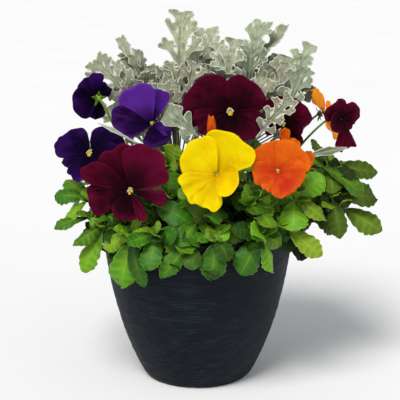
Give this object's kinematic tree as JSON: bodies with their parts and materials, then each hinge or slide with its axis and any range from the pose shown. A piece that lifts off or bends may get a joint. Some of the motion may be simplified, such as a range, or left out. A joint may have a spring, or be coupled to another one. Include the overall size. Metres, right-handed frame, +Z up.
{
  "type": "potted pansy planter",
  "caption": "Round tapered patio pot of potting mix planted with mixed pansies in flower and silver dusty miller, standing on its flat base.",
  "frame": {"origin": "middle of the pot's flat base", "axes": "+Z up along the pot's axis, +X to the right of the planter seen from its front, and the front faces -Y"},
  "size_m": [0.3472, 0.2775, 0.3885],
  "materials": {
    "pot": "charcoal resin, fine combed horizontal ridges, satin",
    "mix": "moist peat and bark potting mix with perlite",
    "pansy_leaf": "living leaf, soft sheen",
    "silver_leaf": "felted silver leaf, matt",
    "yellow_petal": "velvety petal",
    "orange_petal": "velvety petal",
    "burgundy_petal": "velvety petal",
    "violet_petal": "velvety petal",
    "indigo_petal": "velvety petal"
  },
  "bodies": {
    "root": {"planter_pot": "pot", "potting_mix": "mix", "pansy_left": "pansy_leaf", "pansy_front_left": "pansy_leaf", "pansy_front": "pansy_leaf", "pansy_front_right": "pansy_leaf", "pansy_right": "pansy_leaf", "pansy_back": "pansy_leaf", "dusty_miller_left": "silver_leaf", "dusty_miller_right": "silver_leaf", "flower_indigo_high": "indigo_petal", "flower_indigo_low": "indigo_petal", "flower_violet": "violet_petal", "flower_burgundy_low": "burgundy_petal", "flower_burgundy_high": "burgundy_petal", "flower_burgundy_side": "burgundy_petal", "flower_burgundy_right": "burgundy_petal", "flower_yellow": "yellow_petal", "flower_orange": "orange_petal", "flower_orange_behind": "orange_petal", "flower_orange_side": "orange_petal", "orange_bud": "orange_petal"}
  },
  "joints": []
}
